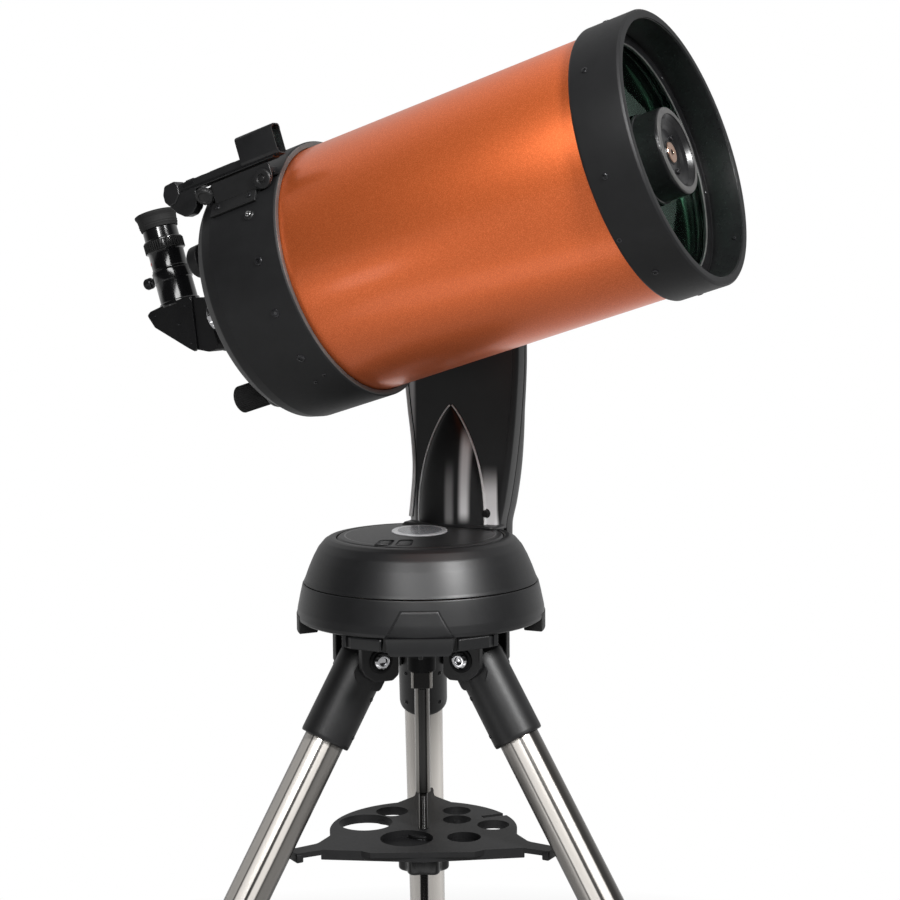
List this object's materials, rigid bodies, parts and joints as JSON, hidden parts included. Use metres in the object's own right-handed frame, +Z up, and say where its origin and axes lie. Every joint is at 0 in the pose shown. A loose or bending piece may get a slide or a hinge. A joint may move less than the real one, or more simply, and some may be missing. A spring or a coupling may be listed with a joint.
{
  "type": "schmidt-cassegrain telescope",
  "caption": "Schmidt-Cassegrain telescope on a motorised single-arm turning mount, with a folding stainless tripod, accessory tray, star diagonal, eyepiece and finder.",
  "frame": {"origin": "on the floor, under the middle of the bounding box", "axes": "+Z up; the optical tube points 27.4 degrees from +X towards -Y and is raised 17.2 degrees; the azimuth axis is vertical at y = -0.0664"},
  "size_m": [0.7902, 0.7754, 1.2219],
  "materials": {
    "aluminium": "drawn",
    "black_paint": "satin black",
    "black_plastic": "satin black",
    "brass": "machined",
    "chrome": "bright plate",
    "glass": "clear coated",
    "mirror": "polished, aluminised",
    "orange_metallic": "metallic orange, gloss",
    "rubber": "matte black",
    "stainless": "polished stainless",
    "steel": "machined"
  },
  "bodies": {
    "stand": {"tripod_head": "black_paint", "centre_rod": "chrome", "leg_hinge_bolt_1": "chrome", "leg_hinge_bolt_2": "chrome", "leg_hinge_bolt_3": "chrome", "base_skirt": "black_plastic", "azimuth_gear": "brass"},
    "turntable": {"base_dome": "black_plastic", "arm_inner_shell": "black_plastic", "arm_outer_shell": "black_plastic", "azimuth_motor": "steel", "altitude_motor": "steel"},
    "azimuth_worm_shaft": {"azimuth_worm": "steel"},
    "cover": {"battery_cover": "black_plastic"},
    "switch": {"power_switch": "black_plastic"},
    "hand_control_body": {"hand_control": "black_plastic"},
    "key_mat": {"hand_control_keys": "rubber"},
    "optical_assembly": {"altitude_gear": "brass", "saddle_clamp": "black_paint", "dovetail_bar": "aluminium", "optical_tube": "orange_metallic", "front_cell": "black_paint", "rear_cell": "black_paint", "corrector_plate": "glass", "corrector_ring": "black_plastic", "secondary_holder": "black_paint", "secondary_mirror": "mirror", "baffle_tube": "black_paint", "visual_back": "black_paint", "finder_bracket": "black_plastic"},
    "altitude_worm_shaft": {"altitude_worm": "steel"},
    "saddle_knob_body": {"saddle_knob": "black_plastic"},
    "focuser_knob": {"focus_knob": "black_plastic"},
    "primary_mirror_body": {"primary_mirror": "mirror"},
    "diagonal": {"diagonal_body": "black_plastic"},
    "thumb_screw": {"diagonal_thumb_screw": "chrome"},
    "eyepiece_unit": {"eyepiece": "black_plastic", "eyecup": "rubber"},
    "finder": {"finder_body": "black_plastic"},
    "finder_adjuster": {"finder_knob": "black_plastic"},
    "leg_1": {"leg_casting_1": "black_paint", "leg_tube_1": "stainless", "leg_clamp_1": "black_paint"},
    "leg_1_lower": {"lower_leg_1": "aluminium", "leg_foot_1": "rubber"},
    "leg_1_lock": {"leg_lock_knob_1": "black_plastic"},
    "leg_2": {"leg_casting_2": "black_paint", "leg_tube_2": "stainless", "leg_clamp_2": "black_paint"},
    "leg_2_lower": {"lower_leg_2": "aluminium", "leg_foot_2": "rubber"},
    "leg_2_lock": {"leg_lock_knob_2": "black_plastic"},
    "leg_3": {"leg_casting_3": "black_paint", "leg_tube_3": "stainless", "leg_clamp_3": "black_paint"},
    "leg_3_lower": {"lower_leg_3": "aluminium", "leg_foot_3": "rubber"},
    "leg_3_lock": {"leg_lock_knob_3": "black_plastic"},
    "tray": {"accessory_tray": "black_plastic"},
    "tray_nut": {"tray_knob": "black_plastic"}
  },
  "joints": [
    {"name": "azimuth_turn", "type": "hinge", "parent": "stand", "child": "turntable", "pos_m": [0, -0.0664, 0.74], "axis": [0, 0, 1], "continuous": true},
    {"name": "azimuth_worm_spin", "type": "hinge", "parent": "turntable", "child": "azimuth_worm_shaft", "pos_m": [0.03194, -0.00479, 0.6985], "axis": [0.8878, -0.4602, 0], "continuous": true},
    {"name": "battery_cover_lift", "type": "slide", "parent": "turntable", "child": "cover", "axis": [0, 0, -1], "range_m": [-0.03, 0]},
    {"name": "power_switch_rock", "type": "hinge", "parent": "turntable", "child": "switch", "pos_m": [0.052, 0.03392, 0.786], "axis": [0.8878, -0.4602, 0], "range_deg": [-8, 8]},
    {"name": "hand_control_lift_off", "type": "slide", "parent": "turntable", "child": "hand_control_body", "axis": [0.4602, 0.8878, 0], "range_m": [0, 0.12]},
    {"name": "hand_control_key_press", "type": "slide", "parent": "hand_control_body", "child": "key_mat", "axis": [-0.4602, -0.8878, 0], "range_m": [0, 0.0012], "stiffness_N_per_m": 800},
    {"name": "altitude_tilt", "type": "hinge", "parent": "turntable", "child": "optical_assembly", "pos_m": [0, -0.0664, 1.0182], "axis": [-0.4602, -0.8878, 0], "range_deg": [-47.2, 72.8]},
    {"name": "altitude_worm_spin", "type": "hinge", "parent": "turntable", "child": "altitude_worm_shaft", "pos_m": [0.03636, 0.00374, 0.9712], "axis": [0.8878, -0.4602, 0], "continuous": true},
    {"name": "saddle_knob_turn", "type": "hinge", "parent": "optical_assembly", "child": "saddle_knob_body", "pos_m": [0.01735, -0.03293, 1.0182], "axis": [-0.2625, 0.1361, 0.9553], "range_deg": [0, 720]},
    {"name": "focus_knob_turn", "type": "hinge", "parent": "optical_assembly", "child": "focuser_knob", "pos_m": [-0.03002, -0.17699, 0.93987], "axis": [0.8481, -0.4396, 0.2957], "range_deg": [-2700, 2700]},
    {"name": "primary_mirror_focus", "type": "slide", "parent": "optical_assembly", "child": "primary_mirror_body", "axis": [0.8481, -0.4396, 0.2957], "range_m": [-0.006, 0.006]},
    {"name": "diagonal_swivel", "type": "hinge", "parent": "optical_assembly", "child": "diagonal", "pos_m": [-0.21613, -0.05574, 0.95728], "axis": [0.8481, -0.4396, 0.2957], "continuous": true},
    {"name": "diagonal_thumb_screw_turn", "type": "hinge", "parent": "diagonal", "child": "thumb_screw", "pos_m": [-0.22978, -0.04866, 1.00696], "axis": [0.8481, -0.4396, 0.2957], "range_deg": [0, 720]},
    {"name": "eyepiece_pull", "type": "slide", "parent": "diagonal", "child": "eyepiece_unit", "axis": [-0.2625, 0.1361, 0.9553], "range_m": [0, 0.06]},
    {"name": "finder_tilt", "type": "hinge", "parent": "optical_assembly", "child": "finder", "pos_m": [-0.1309, -0.19065, 1.10406], "axis": [0.1924, 0.7756, 0.6012], "range_deg": [-1.5, 1.5]},
    {"name": "finder_knob_turn", "type": "hinge", "parent": "optical_assembly", "child": "finder_adjuster", "pos_m": [-0.17874, -0.16514, 1.08646], "axis": [0.1924, 0.7756, 0.6012], "range_deg": [0, 720]},
    {"name": "leg_1_fold", "type": "hinge", "parent": "stand", "child": "leg_1", "pos_m": [0, -0.0069, 0.653], "axis": [-1, 0, 0], "range_deg": [0, 20]},
    {"name": "leg_1_extend", "type": "slide", "parent": "leg_1", "child": "leg_1_lower", "axis": [0, 0.5105, -0.8599], "range_m": [0, 0.42]},
    {"name": "leg_1_lock_turn", "type": "hinge", "parent": "leg_1", "child": "leg_1_lock", "pos_m": [0, 0.30453, 0.12849], "axis": [0, 0.8599, 0.5105], "range_deg": [0, 540]},
    {"name": "leg_2_fold", "type": "hinge", "parent": "stand", "child": "leg_2", "pos_m": [-0.05153, -0.09615, 0.653], "axis": [0.5, -0.866, 0], "range_deg": [0, 20]},
    {"name": "leg_2_extend", "type": "slide", "parent": "leg_2", "child": "leg_2_lower", "axis": [-0.4421, -0.2553, -0.8599], "range_m": [0, 0.42]},
    {"name": "leg_2_lock_turn", "type": "hinge", "parent": "leg_2", "child": "leg_2_lock", "pos_m": [-0.32124, -0.25187, 0.12849], "axis": [-0.7447, -0.4299, 0.5105], "range_deg": [0, 540]},
    {"name": "leg_3_fold", "type": "hinge", "parent": "stand", "child": "leg_3", "pos_m": [0.05153, -0.09615, 0.653], "axis": [0.5, 0.866, 0], "range_deg": [0, 20]},
    {"name": "leg_3_extend", "type": "slide", "parent": "leg_3", "child": "leg_3_lower", "axis": [0.4421, -0.2553, -0.8599], "range_m": [0, 0.42]},
    {"name": "leg_3_lock_turn", "type": "hinge", "parent": "leg_3", "child": "leg_3_lock", "pos_m": [0.32124, -0.25187, 0.12849], "axis": [0.7447, -0.4299, 0.5105], "range_deg": [0, 540]},
    {"name": "tray_drop", "type": "slide", "parent": "stand", "child": "tray", "axis": [0, 0, -1], "range_m": [0, 0.4001]},
    {"name": "tray_knob_turn", "type": "hinge", "parent": "tray", "child": "tray_nut", "pos_m": [0, -0.0664, 0.446], "axis": [0, 0, 1], "range_deg": [0, 1080]}
  ],
  "couplings": [
    {"joint": "azimuth_worm_spin", "follows": "azimuth_turn", "ratio": 40},
    {"joint": "altitude_worm_spin", "follows": "altitude_tilt", "ratio": 40},
    {"joint": "focus_knob_turn", "follows": "primary_mirror_focus", "rad_per_m": 7853.9},
    {"joint": "leg_2_fold", "follows": "leg_1_fold", "ratio": 1},
    {"joint": "leg_3_fold", "follows": "leg_1_fold", "ratio": 1},
    {"joint": "tray_drop", "follows": "leg_1_fold", "m_per_rad": 1.1459}
  ]
}
